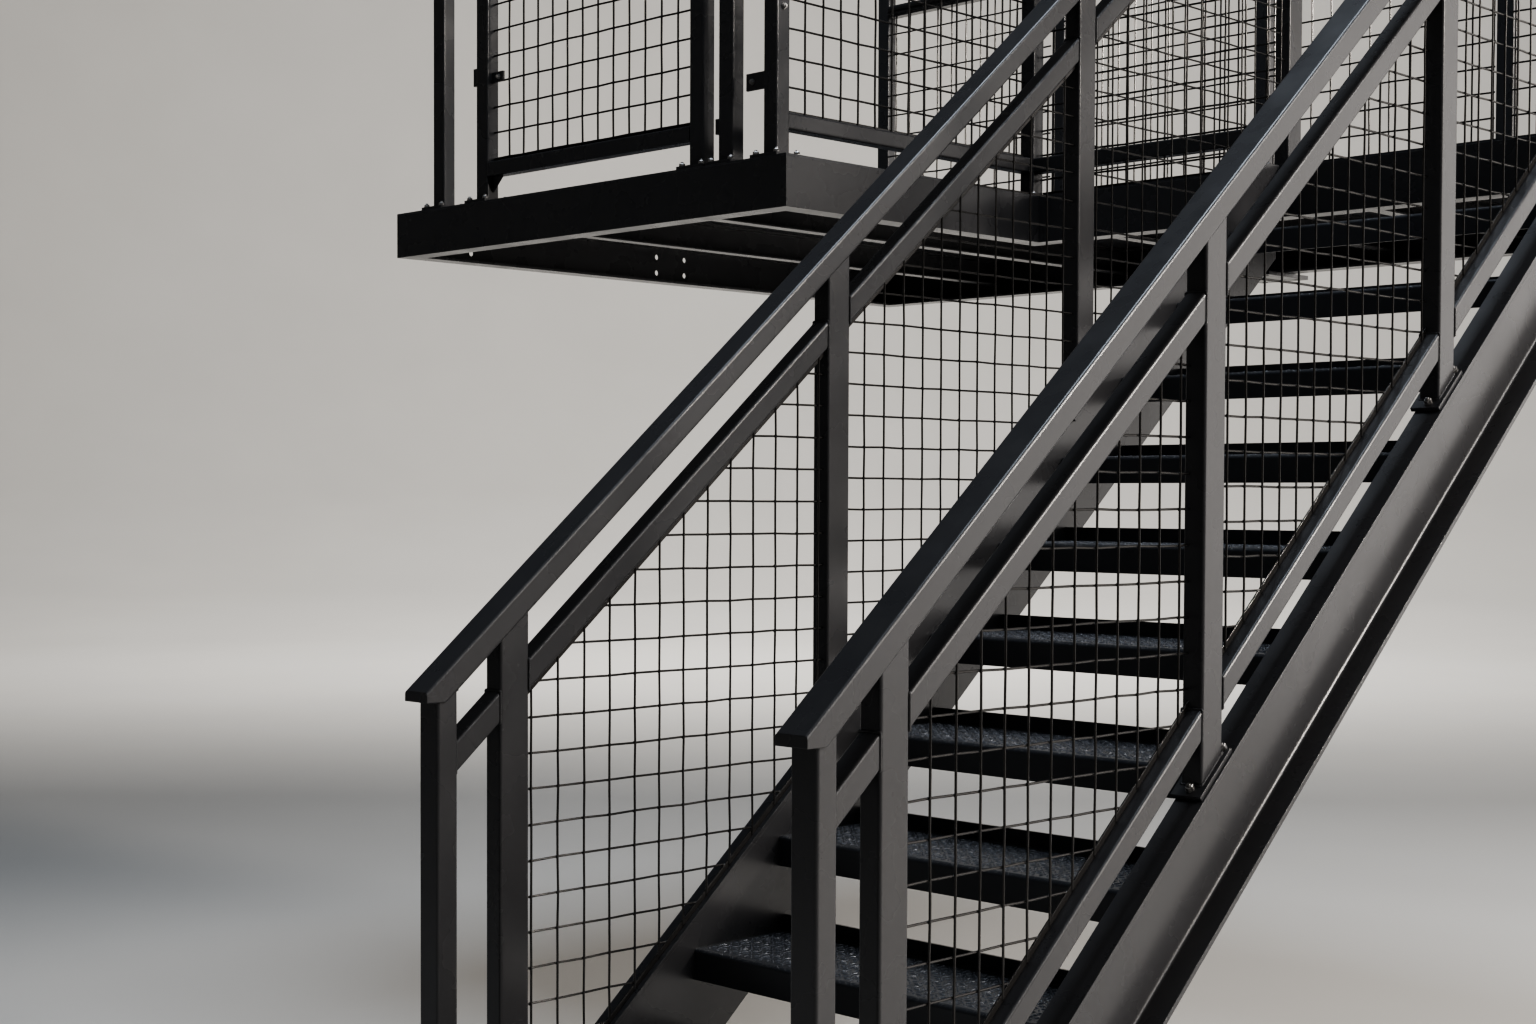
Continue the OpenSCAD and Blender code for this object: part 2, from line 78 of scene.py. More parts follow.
HAND_TIP_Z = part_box("handrail_right")[0].z

# Sections and plates of the members, as the part's source has them
HAND_D, RAIL_D = 0.040, 0.040
POST_W, POST_D, NEWEL_W, NEWEL_D = 0.040, 0.060, 0.050, 0.040
GUARD_POST, CORNER = 0.050, 0.045
BASE_T, BASE_L, DECK_BASE = 0.008, 0.115, 0.090
RAIL_GAP = 0.063
TREAD_FRONT, TREAD_FOLD = 0.056, 0.008
HAND_OVERHANG = 0.024

# Seeds of what strays: the wires and the tears
WIRE_SEED, TEAR_SEED = 4, 11

# Distances under which points count as one, and posts as standing at the same place
SAME_POINT, SAME_PLACE = 1e-5, 0.001


def plumb(thickness):
    """Height of a sloping member of this thickness, measured plumb."""
    return thickness / math.cos(PITCH)


def top_line(node):
    """The plumb height of a sloping member's top over any point along the flight."""
    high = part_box(node)[1]
    return lambda y: high.z - (high.y - y) * SLOPE


hand_top = top_line("handrail_right")
mid_top = top_line("mid_rails_right")
low_top = top_line("low_rails_right")

# Where the posts of the flight stand
POSTS = [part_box("mesh_right_%d" % i)[0].y - POST_D / 2 for i in (1, 2, 3)]
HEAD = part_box("mesh_right_3")[1].y + POST_D / 2
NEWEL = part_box("handrail_right")[0].y + HAND_OVERHANG + NEWEL_D / 2


def hand_under(y):
    """The handrail's underside, which is level at its lower end."""
    return max(hand_top(y) - plumb(HAND_D), HAND_TIP_Z)


def flange(y):
    """The top of the stringers, on which the flat bars of the left balustrade lie."""
    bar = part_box("low_rails_left")[0]
    return bar.z + (y - bar.y - BASE_T * math.sin(PITCH)) * SLOPE


# How each sheet's wires lie: spacing along and upward, the place of one upright, the height of one row
WEAVE = {
    "left_1": (0.0577, 0.0604, 0.7081, 1.1615),
    "left_2": (0.0572, 0.0604, 1.3537, 1.6900),
    "left_3": (0.0572, 0.0604, 2.1000, 2.3000),
    "right_1": (0.0558, 0.0586, 0.7040, 1.1620),
    "right_2": (0.0545, 0.0587, 1.5027, 1.6110),
    "right_3": (0.0545, 0.0587, 2.1000, 2.3154),
    "balcony": (0.0620, 0.0702, -1.9408, 2.6725),
    "return": (0.0630, 0.0707, 2.2222, 2.5880),
    "front": (0.0598, 0.0660, -0.8559, 2.6604),
}
DECK_WEAVE = (0.0630, 0.0707, 0.0, 2.5880)

# Half the distance between the two layers of wires, as a share of a wire
LAYER = 0.44

# Bolts: their distance from a plate's edge on the slope and on the deck, as a share of the bolt
SLOPE_EDGE, DECK_EDGE = 1.15, 1.3

# How far outward of the posts' middle the lower and the upper bolt stand on the slope
LOWER_OUT, UPPER_OUT = 0.003, 0.016

# Lugs and clips of the balcony: reach from the post's face, to the left if negative, and lower and upper edge
# over the deck
PANEL_LUG, PANEL_CLIP = (-0.022, 0.326, 0.374), (0.048, 0.328, 0.356)
GAP_LUG = (-0.018, 0.079, 0.116)
CORNER_CLIP, CORNER_LUG = (-0.078, 0.172, 0.213), (-0.010, 0.345, 0.372)
LUG_T, SMALL_LUG_T = 0.024, 0.014
GUSSET, GUSSET_TIP = 0.042, 0.002

# Their bolts: reach from the post's face, height over the deck, and size as a share of a base plate's bolt
PANEL_BOLT, CORNER_BOLT, SIDE_BOLT = (0.030, 0.342), (-0.056, 0.192), (0.0, 0.358)
CLIP_BOLT = 0.9

# The tread pattern: its margins on treads and decks, and how many tears lie along a cell that repeats
TREAD_SIDE, TREAD_BACK, DECK_MARGIN = 0.006, 0.012, 0.01
CELL = 4

# A tear: its turn in degrees, how far its turn and place stray, and how wide its top is
TURN, TURN_STRAY, PLACE_STRAY = 50, 40, 0.1
TEAR_TOP = 0.4

# The studio: its floor's profile outward and upward, and the lights with place, aim, size, watts and colour
BOWL = [(0.0, 0.0), (20.0, 0.0), (24.0, 0.35), (28.0, 1.6), (31.0, 3.8), (33.0, 7.0), (34.0, 11.0),
        (34.3, 16.0)]
BOWL_STEPS = 72
LIGHTS = {
    "key": ((7.4, 5.4, 5.1), (0.0, 1.8, 1.5), (1.0, 1.0), 640.0, (1.0, 0.93, 0.85)),
    "rim": ((5.8, 2.8, 6.3), (0.4, 0.8, 1.7), (6.0, 1.2), 260.0, (1.0, 0.98, 0.96)),
    "side": ((7.5, 11.0, 2.8), (0.4, 1.3, 1.7), (10.0, 6.0), 320.0, (1.0, 0.96, 0.92)),
    "sky": ((-0.4, 1.6, 8.0), (-0.4, 1.6, 0.0), (3.0, 3.0), 250.0, (0.80, 0.89, 1.0)),
    "backdrop": ((-8.0, 10.0, 11.0), (-22.0, 24.0, 2.0), (12.0, 4.0), 2700.0, (1.0, 0.97, 0.93)),
}
WORLD_COLOUR, WORLD_STRENGTH = (0.80, 0.83, 0.88, 1.0), 0.075


def solids(node):
    """The boxes of a node's separate solids, sorted along the row's axes."""
    bm = bmesh.new()
    bm.from_mesh(frame["nodes"][node].data)
    bmesh.ops.remove_doubles(bm, verts=bm.verts, dist=SAME_POINT)
    left = set(bm.verts)
    boxes = []
    while left:
        edge = [left.pop()]
        island = list(edge)
        while edge:
            vert = edge.pop()
            for link in vert.link_edges:
                other = link.other_vert(vert)
                if other in left:
                    left.remove(other)
                    edge.append(other)
                    island.append(other)
        low = Vector([min(v.co[i] for v in island) for i in range(3)])
        high = Vector([max(v.co[i] for v in island) for i in range(3)])
        boxes.append((low, high))
    bm.free()
    return sorted(boxes, key=lambda b: tuple(round(c, 4) for c in b[0]))


class StairMeshSizes(bpy.types.PropertyGroup):
    """Sizes of the welded wire mesh."""
    wire: FloatProperty(name="Wire", description="Diameter of a wire of the flight",
                        default=0.0040, unit="LENGTH")
    deck_wire: FloatProperty(name="Deck wire", description="Diameter of a wire round the landing",
                             default=0.0053, unit="LENGTH")
    sides: IntProperty(name="Sides", description="Faces round a wire", default=8, min=6)
    strip_height: FloatProperty(name="Strip height", description="Height of the strips at the wires' ends",
                                default=0.010, unit="LENGTH")
    strip_thick: FloatProperty(name="Strip thickness", description="Thickness of these strips",
                               default=0.003, unit="LENGTH")
    nugget: FloatProperty(name="Nugget", description="Radius of the weld where two wires cross",
                          default=0.0029, unit="LENGTH")
    wander: FloatProperty(name="Wander", description="How far a wire strays between crossings",
                          default=0.0009, unit="LENGTH")
    margin: FloatProperty(name="Margin", description="How far a wire stops short of the rail",
                          default=0.002, unit="LENGTH")


class StairDetailSizes(bpy.types.PropertyGroup):
    """Sizes of welds, bolts, clips and tread pattern."""
    bead: FloatProperty(name="Bead", description="Radius of a weld bead", default=0.0026, unit="LENGTH")
    ripple: FloatProperty(name="Ripple", description="Spacing of the ripples in a bead",
                          default=0.0030, unit="LENGTH")
    bolt: FloatProperty(name="Bolt", description="Diameter of a base plate's bolt",
                        default=0.008, unit="LENGTH")
    clip: FloatProperty(name="Clip", description="Thickness of the clips", default=0.006, unit="LENGTH")
    tear_length: FloatProperty(name="Tear length", description="Length of a raised tear on the treads",
                               default=0.0150, unit="LENGTH")
    tear_width: FloatProperty(name="Tear width", description="Width of a raised tear",
                              default=0.0036, unit="LENGTH")
    tear_height: FloatProperty(name="Tear height", description="Height of a raised tear",
                               default=0.0018, unit="LENGTH")
    tear_pitch: FloatProperty(name="Tear pitch", description="Spacing of the tears",
                              default=0.0135, unit="LENGTH")


class StairColours(bpy.types.PropertyGroup):
    """Colours of the finishes."""
    paint: FloatVectorProperty(name="Paint", description="Anthracite paint", subtype="COLOR",
                               default=(0.048, 0.048, 0.051), min=0, max=1)
    tread: FloatVectorProperty(name="Tread", description="Paint of the treads and decks", subtype="COLOR",
                               default=(0.046, 0.048, 0.054), min=0, max=1)
    # Bare steel where the paint is rubbed off; the same colour also lightens edges, worm ridges and tears as a
    # painted highlight
    worn: FloatVectorProperty(name="Worn", description="Paint rubbed down to bare steel", subtype="COLOR",
                              default=(0.20, 0.19, 0.18), min=0, max=1)
    wire: FloatVectorProperty(name="Wire", description="Paint of the wires", subtype="COLOR",
                              default=(0.040, 0.038, 0.037), min=0, max=1)
    dust: FloatVectorProperty(name="Dust", description="Dust on what faces up", subtype="COLOR",
                              default=(0.16, 0.15, 0.14), min=0, max=1)
    zinc: FloatVectorProperty(name="Zinc", description="Plating of the bolts", subtype="COLOR",
                              default=(0.42, 0.41, 0.40), min=0, max=1)
    floor: FloatVectorProperty(name="Floor", description="Studio floor", subtype="COLOR",
                               default=(0.66, 0.65, 0.63), min=0, max=1)


class StairView(bpy.types.PropertyGroup):
    """The view of the stair from the ground beside its foot."""
    place: FloatVectorProperty(name="Place", description="The camera's place", subtype="XYZ", unit="LENGTH",
                               default=(2.3577, -1.8414, 1.5281))
    yaw: FloatProperty(name="Yaw", description="Turn to the left of the way the flight climbs",
                       subtype="ANGLE", default=math.radians(44.97))
    dip: FloatProperty(name="Dip", description="Tilt below the horizon", subtype="ANGLE",
                       default=math.radians(1.702))
    roll: FloatProperty(name="Roll", description="Turn about the line of sight", subtype="ANGLE",
                        default=math.radians(0.225))
    lens: FloatProperty(name="Lens", description="Focal length in millimetres", default=49.4)
    shift_x: FloatProperty(name="Shift X", description="Sideways shift of the picture", default=-0.0023)
    shift_y: FloatProperty(name="Shift Y", description="Upward shift of the picture", default=0.0323)


GROUPS = {"stair_mesh": StairMeshSizes, "stair_detail": StairDetailSizes, "stair_colours": StairColours,
          "stair_view": StairView}


# Radius to which edges look rounded, and the noise scales of the paint's marks
EDGE_ROUND = 0.0020
CLOUDS, MOTTLE, DUST, EDGE_PATCHES, GLOSS, GRAIN, WORMS = 1.4, 46.0, 11.0, 38.0, 9.0, 340.0, 70.0

# Noise scales of the zinc's and the floor's marks
BLOTS, ZINC_GRAIN, ZINC_GLOSS, FLOOR_MOTTLE = 160.0, 900.0, 70.0, 0.7


# Node materials
class Finish:
    """A material and the few nodes that every finish here is made of."""

    def __init__(self, name):
        self.material = bpy.data.materials.new(name)
        self.material.use_nodes = True
        self.nodes = self.material.node_tree.nodes
        self.links = self.material.node_tree.links
        self.shader = self.nodes["Principled BSDF"]
        self.place = self.nodes.new("ShaderNodeTexCoord").outputs["Object"]

    def link(self, source, target):
        self.links.new(source, target)

    def noise(self, scale, detail, rough):
        """Noise in the piece's own place, so many marks to a metre."""
        node = self.nodes.new("ShaderNodeTexNoise")
        node.inputs["Scale"].default_value = scale
        node.inputs["Detail"].default_value = detail
        node.inputs["Roughness"].default_value = rough
        self.link(self.place, node.inputs["Vector"])
        return node.outputs["Fac"]

    def spread(self, source, low, high, to_low=0.0, to_high=1.0):
        """Maps the range from low to high onto another, and stops at its ends."""
        node = self.nodes.new("ShaderNodeMapRange")
        for key, value in (("From Min", low), ("From Max", high), ("To Min", to_low), ("To Max", to_high)):
            node.inputs[key].default_value = value
        self.link(source, node.inputs["Value"])
        return node.outputs["Result"]

    def math(self, kind, first, second):
        """A sum or product of sockets or numbers."""
        node = self.nodes.new("ShaderNodeMath")
        node.operation = kind
        for socket, value in zip(node.inputs, (first, second)):
            if isinstance(value, (int, float)):
                socket.default_value = value
            else:
                self.link(value, socket)
        return node.outputs["Value"]

    def mix(self, fac, first, second):
        """The first colour where the factor is 0, the second where it is 1."""
        node = self.nodes.new("ShaderNodeMix")
        node.data_type = "RGBA"
        sockets = (node.inputs["Factor"], node.inputs[6], node.inputs[7])
        for socket, value in zip(sockets, (fac, first, second)):
            if isinstance(value, (int, float)):
                socket.default_value = value
            elif isinstance(value, bpy.types.NodeSocket):
                self.link(value, socket)
            else:
                socket.default_value = (*value, 1.0)
        return node.outputs[2]

    def rounded(self, radius):
        """The surface's direction with its edges rounded off."""
        bevel = self.nodes.new("ShaderNodeBevel")
        bevel.samples = 4
        bevel.inputs["Radius"].default_value = radius
        return bevel.outputs["Normal"]

    def edges(self, round_normal):
        """1 on the edges of a member, 0 on its faces."""
        normal = self.nodes.new("ShaderNodeNewGeometry").outputs["Normal"]
        dot = self.nodes.new("ShaderNodeVectorMath")
        dot.operation = "DOT_PRODUCT"
        self.link(round_normal, dot.inputs[0])
        self.link(normal, dot.inputs[1])
        return self.spread(dot.outputs["Value"], 0.995, 0.90)

    def facing_up(self):
        """1 on what faces the sky, where dust lies."""
        split = self.nodes.new("ShaderNodeSeparateXYZ")
        self.link(self.nodes.new("ShaderNodeNewGeometry").outputs["Normal"], split.inputs["Vector"])
        return self.spread(split.outputs["Z"], 0.35, 0.95)

    def bump(self, height, strength, distance, normal=None):
        """Relief in the surface, on a rounded direction if there is one."""
        node = self.nodes.new("ShaderNodeBump")
        node.inputs["Strength"].default_value = strength
        node.inputs["Distance"].default_value = distance
        self.link(height, node.inputs["Height"])
        if normal:
            self.link(normal, node.inputs["Normal"])
        self.link(node.outputs["Normal"], self.shader.inputs["Normal"])

    def finish(self, colour, roughness, metallic=0.0):
        """Joins colour and gloss to the shader."""
        for key, value in (("Base Color", colour), ("Roughness", roughness)):
            if isinstance(value, bpy.types.NodeSocket):
                self.link(value, self.shader.inputs[key])
            else:
                self.shader.inputs[key].default_value = value
        self.shader.inputs["Metallic"].default_value = metallic
        return self.material


def scaled(colour, factor):
    """The colour made lighter or darker."""
    return tuple(min(1.0, c * factor) for c in colour)


def painted(name, colour, worn, dust_colour, edge_wear_and_highlight=0.45, dust=0.10, rough=0.27, worms=False, metal=0.0):
    """Satin paint: faint clouds, a little dust on top, edges lightened in patches as rubbed paint and as a
    painted highlight, and worm-like relief where walked on, its ridges lightened as wear and as a painted
    glint.
    """
    f = Finish(name)
    clouds = f.spread(f.noise(CLOUDS, 3.0, 0.5), 0.32, 0.68)
    tone = f.mix(clouds, scaled(colour, 0.93), scaled(colour, 1.08))
    mottle = f.spread(f.noise(MOTTLE, 4.0, 0.6), 0.35, 0.68)
    tone = f.mix(f.math("MULTIPLY", mottle, 0.15), tone, scaled(colour, 1.30))
    patches = f.spread(f.noise(DUST, 5.0, 0.6), 0.40, 0.75)
    soil = f.math("MULTIPLY", f.math("MULTIPLY", f.facing_up(), patches), dust)
    tone = f.mix(soil, tone, dust_colour)
    rounded = f.rounded(EDGE_ROUND)
    # Edges lightened towards the worn colour in patches: partly paint rubbed to bare steel, partly a painted
    # highlight on the edges
    edge_patches = f.spread(f.noise(EDGE_PATCHES, 5.0, 0.65), 0.46, 0.70)
    rubbed = f.math("MULTIPLY", f.edges(rounded), edge_patches)
    tone = f.mix(f.math("MULTIPLY", rubbed, edge_wear_and_highlight), tone, worn)
    gloss = f.spread(f.noise(GLOSS, 3.0, 0.5), 0.3, 0.7, rough - 0.03, rough + 0.04)
    gloss = f.math("ADD", gloss, f.math("MULTIPLY", soil, 0.5))
    if worms:
        # Ridges of the worm relief, also lightened towards the worn colour: partly wear where walked on, partly
        # a painted glint
        ridge_and_glint = f.math("ABSOLUTE", f.math("SUBTRACT", f.noise(WORMS, 1.0, 0.4), 0.5), 0.0)
        ridge_and_glint = f.math("MULTIPLY", f.spread(ridge_and_glint, 0.030, 0.0), f.facing_up())
        tone = f.mix(f.math("MULTIPLY", ridge_and_glint, 0.35), tone, worn)
        f.bump(ridge_and_glint, 0.8, 0.0012)
    else:
        f.bump(f.noise(GRAIN, 2.0, 0.5), 0.05, 0.0004, rounded)
    return f.finish(tone, gloss, metal)


def plated(name, colour):
    """Dull zinc plating with faint blotches."""
    f = Finish(name)
    blot = f.spread(f.noise(BLOTS, 3.0, 0.6), 0.35, 0.7)
    tone = f.mix(blot, scaled(colour, 0.72), colour)
    f.bump(f.noise(ZINC_GRAIN, 2.0, 0.5), 0.08, 0.0002)
    gloss = f.spread(f.noise(ZINC_GLOSS, 3.0, 0.6), 0.3, 0.7, 0.28, 0.48)
    return f.finish(tone, gloss, 0.9)


def plain(name, colour, rough):
    """The studio floor: matt, with a faint mottle."""
    f = Finish(name)
    mottle = f.spread(f.noise(FLOOR_MOTTLE, 3.0, 0.5), 0.3, 0.7)
    tone = f.mix(mottle, scaled(colour, 0.97), colour)
    return f.finish(tone, rough)


FINISHES = {}


def finish(name):
    """Each finish is made once."""
    if name not in FINISHES:
        colours = bpy.context.scene.stair_colours
        paint, tread, wire = tuple(colours.paint), tuple(colours.tread), tuple(colours.wire)
        marks = (tuple(colours.worn), tuple(colours.dust))
        make = {
            "satin paint": lambda n: painted(n, paint, *marks),
            "tread paint": lambda n: painted(n, tread, *marks, edge_wear_and_highlight=0.6, dust=0.16, rough=0.30, worms=True),
            # The tears are two and a half times lighter than the treads, with fully lightened edges: partly
            # rubbed bare, partly a painted glint
            "worn tears": lambda n: painted(n, scaled(tread, 2.5), *marks, edge_wear_and_highlight=1.0, rough=0.20),
            "wire paint": lambda n: painted(n, wire, *marks, edge_wear_and_highlight=0.2, dust=0.05, rough=0.20, metal=0.25),
            "weld bead": lambda n: painted(n, scaled(paint, 1.25), *marks, edge_wear_and_highlight=0.2, dust=0.05, rough=0.28),
            "zinc": lambda n: plated(n, tuple(colours.zinc)),
            "studio floor": lambda n: plain(n, tuple(colours.floor), 0.85),
        }
        FINISHES[name] = make[name](name)
    return FINISHES[name]


# Pieces
def piece(name, bm, material, replaces=()):
    """Turns a finished bmesh into a piece that rides on the stair's body."""
    mesh = bpy.data.meshes.new(name)
    bmesh.ops.recalc_face_normals(bm, faces=bm.faces)
    bm.to_mesh(mesh)
    bm.free()
    obj = bpy.data.objects.new(name, mesh)
    bpy.context.scene.collection.objects.link(obj)
    mesh.materials.append(finish(material))
    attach(obj, BODY)
    if replaces:
        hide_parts(*replaces)
    return obj


def smooth(obj, angle=math.radians(40)):
    """Smooth shading, but sharp where faces meet at more than the angle."""
    mesh = obj.data
    mesh.polygons.foreach_set("use_smooth", [True] * len(mesh.polygons))
    mesh.set_sharp_from_angle(angle=angle)


def rod(bm, points, radius, sides):
    """A round rod through the points, closed at both ends."""
    way = points[-1] - points[0]
    turn = way.to_track_quat("Z", "Y").to_matrix().to_4x4()
    ring = bmesh.ops.create_circle(bm, cap_ends=True, radius=radius, segments=sides,
                                   matrix=Matrix.Translation(points[0]) @ turn)["verts"]
    edges = list(dict.fromkeys(e for v in ring for e in v.link_edges))
    for start, end in zip(points, points[1:]):
        new = bmesh.ops.extrude_edge_only(bm, edges=edges)["geom"]
        edges = [g for g in new if isinstance(g, bmesh.types.BMEdge)]
        ring = [g for g in new if isinstance(g, bmesh.types.BMVert)]
        bmesh.ops.translate(bm, verts=ring, vec=end - start)
    bmesh.ops.contextual_create(bm, geom=edges)


def block(bm, low, high):
    """A plain bar between two corners."""
    verts = bmesh.ops.create_cube(bm, size=1.0)["verts"]
    bmesh.ops.scale(bm, vec=high - low, verts=verts)
    bmesh.ops.translate(bm, vec=(low + high) / 2, verts=verts)
    return verts


def bead(bm, path, radius, step):
    """A weld bead round a closed path: close overlapping drops, as the ripples of a run are."""
    for start, end in zip(path, path[1:] + path[:1]):
        count = max(1, round((end - start).length / step))
        for i in range(count):
            drop = Matrix.Translation(start.lerp(end, (i + 0.5) / count))
            bmesh.ops.create_icosphere(bm, subdivisions=1, radius=radius, matrix=drop)


class Sheet:
    """A mesh sheet between two posts, read from its node's box: u runs along it and z is up."""

    def __init__(self, low, high, sloping):
        size = high - low
        self.along = "y" if size.y > size.x else "x"
        self.start = low.y if self.along == "y" else low.x
        self.length = size.y if self.along == "y" else size.x
        self.plane = (low.x + high.x) / 2 if self.along == "y" else (low.y + high.y) / 2
        self.slope = SLOPE if sloping else 0.0
        self.low = low.z
        self.high = high.z - self.length * self.slope

    def point(self, u, z, out=0.0):
        """A point of the sheet, or as far out of its plane as is said."""
        if self.along == "y":
            return Vector((self.plane + out, self.start + u, z))
        return Vector((self.start + u, self.plane + out, z))


def through(place, low, high, pitch):
    """The places between low and high that lie whole pitches from one place."""
    first = math.ceil((low - place) / pitch)
    return [place + i * pitch for i in range(first, math.floor((high - place) / pitch) + 1)]


def wires(bm, sheet, sizes, weave, wire, rng):
    """The sheet's round wires in two layers, a weld where they cross, and strips along its two edges."""
    gap = wire * LAYER
    along, up, upright, row = weave
    uprights = through(upright - sheet.start, wire, sheet.length - wire, along)
    rise = sheet.length * sheet.slope
    rows = through(row, sheet.low + wire, sheet.high + rise - wire, up)
    ends = plumb(sizes.margin) if sheet.slope else sizes.margin
    shortest = along / 3

    def inside(u, z):
        return sheet.low + sheet.slope * u + ends <= z <= sheet.high + sheet.slope * u - ends

    def stray():
        return rng.uniform(-sizes.wander, sizes.wander)

    for u in uprights:
        stops = [z for z in rows if inside(u, z)]
        zs = [sheet.low + sheet.slope * u + ends] + stops + [sheet.high + sheet.slope * u - ends]
        rod(bm, [sheet.point(u + stray(), z, gap) for z in zs], wire / 2, sizes.sides)
        for z in stops:
            knot = Matrix.Translation(sheet.point(u, z))
            bmesh.ops.create_icosphere(bm, subdivisions=1, radius=sizes.nugget, matrix=knot)
    for z in rows:
        first, last = 0.0, sheet.length
        if sheet.slope:
            first = max(first, (z - sheet.high + ends) / sheet.slope)
            last = min(last, (z - sheet.low - ends) / sheet.slope)
        elif not inside(0.0, z):
            continue
        if last - first < shortest:
            continue
        us = [first] + [u for u in uprights if first + wire < u < last - wire] + [last]
        rod(bm, [sheet.point(u, z + stray(), -gap) for u in us], wire / 2, sizes.sides)
    height = plumb(sizes.strip_height) if sheet.slope else sizes.strip_height
    half = sizes.strip_thick / 2
    for base, top in ((sheet.low, sheet.low + height), (sheet.high - height, sheet.high)):
        verts = block(bm, sheet.point(0.0, base, -half), sheet.point(sheet.length, top, half))
        if sheet.slope:
            for v in verts:
                v.co.z += sheet.slope * (v.co.y - sheet.start)


def hex_bolt(bm, place, size):
    """A washer, hex nut and stud end, all shares of the size, on a place whose +Z is the bolt's axis."""
    def turned(radius, low, high, sides, spin=0.0, top=1.0):
        shift = Matrix.Translation((0, 0, (low + high) / 2)) @ Matrix.Rotation(spin, 4, "Z")
        bmesh.ops.create_cone(bm, cap_ends=True, segments=sides, radius1=radius, radius2=radius * top,
                              depth=high - low, matrix=place @ shift)
    washer, nut = size * 0.2, size * 0.8
    across, stud = size * 0.93, size * 0.5
    shoulder, nut_top = washer + nut * 0.8, washer + nut
    stud_top = nut_top + size * 0.35
    turned(size, 0.0, washer, 20)
    turned(across, washer, shoulder, 6, 0.3)
    turned(across, shoulder, nut_top, 6, 0.3, 0.86)
    turned(stud, nut_top, stud_top, 12)
    turned(stud, stud_top, nut_top + size * 0.45, 12, 0.0, 0.8)


def post_middle(box):
    """The middle of a post's box."""
    return (box[0] + box[1]) / 2


def on_slope(side, outward, y, along):
    """A place on a base plate of the flight: outward of the balustrade's plane, and along the slope."""
    x = SIDES[side] * (GUARD_X + outward)
    base = Matrix.Translation((x, y, flange(y) + plumb(BASE_T)))
    return base @ Matrix.Rotation(PITCH, 4, "X") @ Matrix.Translation((0, along, 0))


# Where posts stand: (middle x, middle y, size along x, size along y)
def flight_stands(side):
    """The newel, the posts on the stringer and the head post of one balustrade."""
    x = SIDES[side] * GUARD_X
    return [(x, NEWEL, NEWEL_W, NEWEL_D)] + [(x, y, POST_W, POST_D) for y in [*POSTS, HEAD]]


def deck_stands():
    """The landing's posts, of which those at the corners are square."""
    out = []
    for node in ("posts_balcony", "posts_return", "posts_back"):
        mids = [post_middle(box) for box in solids(node)]
        last = max(mid.x for mid in mids)
        for mid in mids:
            corner = mid.x > last - SAME_PLACE
            out.append((mid.x, mid.y, CORNER if corner else GUARD_POST, CORNER if corner else POST_W))
    return out


class STAIR_OT_paint(bpy.types.Operator):
    """Paint every steel member that comes with the frame"""
    bl_idname = "stair.paint"
    bl_label = "Paint the members"

    def execute(self, context):
        slots = {s["node"]: s["material_slot"] for s in frame["record"]["subparts"]}
        for name, obj in frame["nodes"].items():
            obj.data.materials.clear()
            obj.data.materials.append(finish("tread paint" if slots[name] == TREAD_SLOT else "satin paint"))
        return {"FINISHED"}


class STAIR_OT_mesh(bpy.types.Operator):
    """Weave the round wires of every mesh sheet in place of its flat stand-in"""
    bl_idname = "stair.mesh"
    bl_label = "Weave the mesh"

    def execute(self, context):
        sizes = context.scene.stair_mesh
        rng = random.Random(WIRE_SEED)
        for name in sorted(n for n in frame["nodes"] if n.startswith("mesh_")):
            sloping = name.startswith(("mesh_left", "mesh_right"))
            wire = sizes.wire if sloping else sizes.deck_wire
            place = name.removeprefix("mesh_")
            weave = WEAVE.get(place, DECK_WEAVE)
            bm = bmesh.new()
            for low, high in solids(name):
                wires(bm, Sheet(low, high, sloping), sizes, weave, wire, rng)
            smooth(piece("wires_" + place, bm, "wire paint", [name]))
        return {"FINISHED"}


class STAIR_OT_welds(bpy.types.Operator):
    """Lay weld beads where posts meet handrails, rails and base plates"""
    bl_idname = "stair.welds"
    bl_label = "Lay the welds"

    def execute(self, context):
        d = context.scene.stair_detail

        def loop(bm, corners):
            bead(bm, [Vector(c) for c in corners], d.bead, d.ripple)

        def ring(x, y, wide, deep):
            hw, hd = wide / 2, deep / 2
            return [(x - hw, y - hd), (x + hw, y - hd), (x + hw, y + hd), (x - hw, y + hd)]

        for side in SIDES:
            bm = bmesh.new()
            stands = flight_stands(side)
            lines = (mid_top, low_top) if side == "right" else (mid_top,)
            for i, (x, y, wide, deep) in enumerate(stands):
                head = i == len(stands) - 1
                around = ring(x, y, wide, deep)
                if head:
                    loop(bm, [(px, py, DECK_Z + BASE_T) for px, py in around])
                else:
                    loop(bm, [(px, py, hand_under(py)) for px, py in around])
                    loop(bm, [(px, py, flange(py) + plumb(BASE_T)) for px, py in around])
                faces = ([y - deep / 2] if i else []) + ([] if head else [y + deep / 2])
                for face in faces:
                    for line in lines:
                        # The low rail starts at the first post over the newel
                        if line is low_top and (i == 0 or (i == 1 and face < y)):
                            continue
                        top, half = line(face), RAIL_D / 2
                        low = top - plumb(RAIL_D)
                        corners = ((-half, low), (half, low), (half, top), (-half, top))
                        loop(bm, [(x + across, face, z) for across, z in corners])
            smooth(piece("welds_" + side, bm, "weld bead"))
        bm = bmesh.new()
        for x, y, wide, deep in deck_stands():
            for z in (DECK_Z + BASE_T, GUARD_TOP - HAND_D):
                loop(bm, [(px, py, z) for px, py in ring(x, y, wide, deep)])
        smooth(piece("welds_landing", bm, "weld bead"))
        return {"FINISHED"}


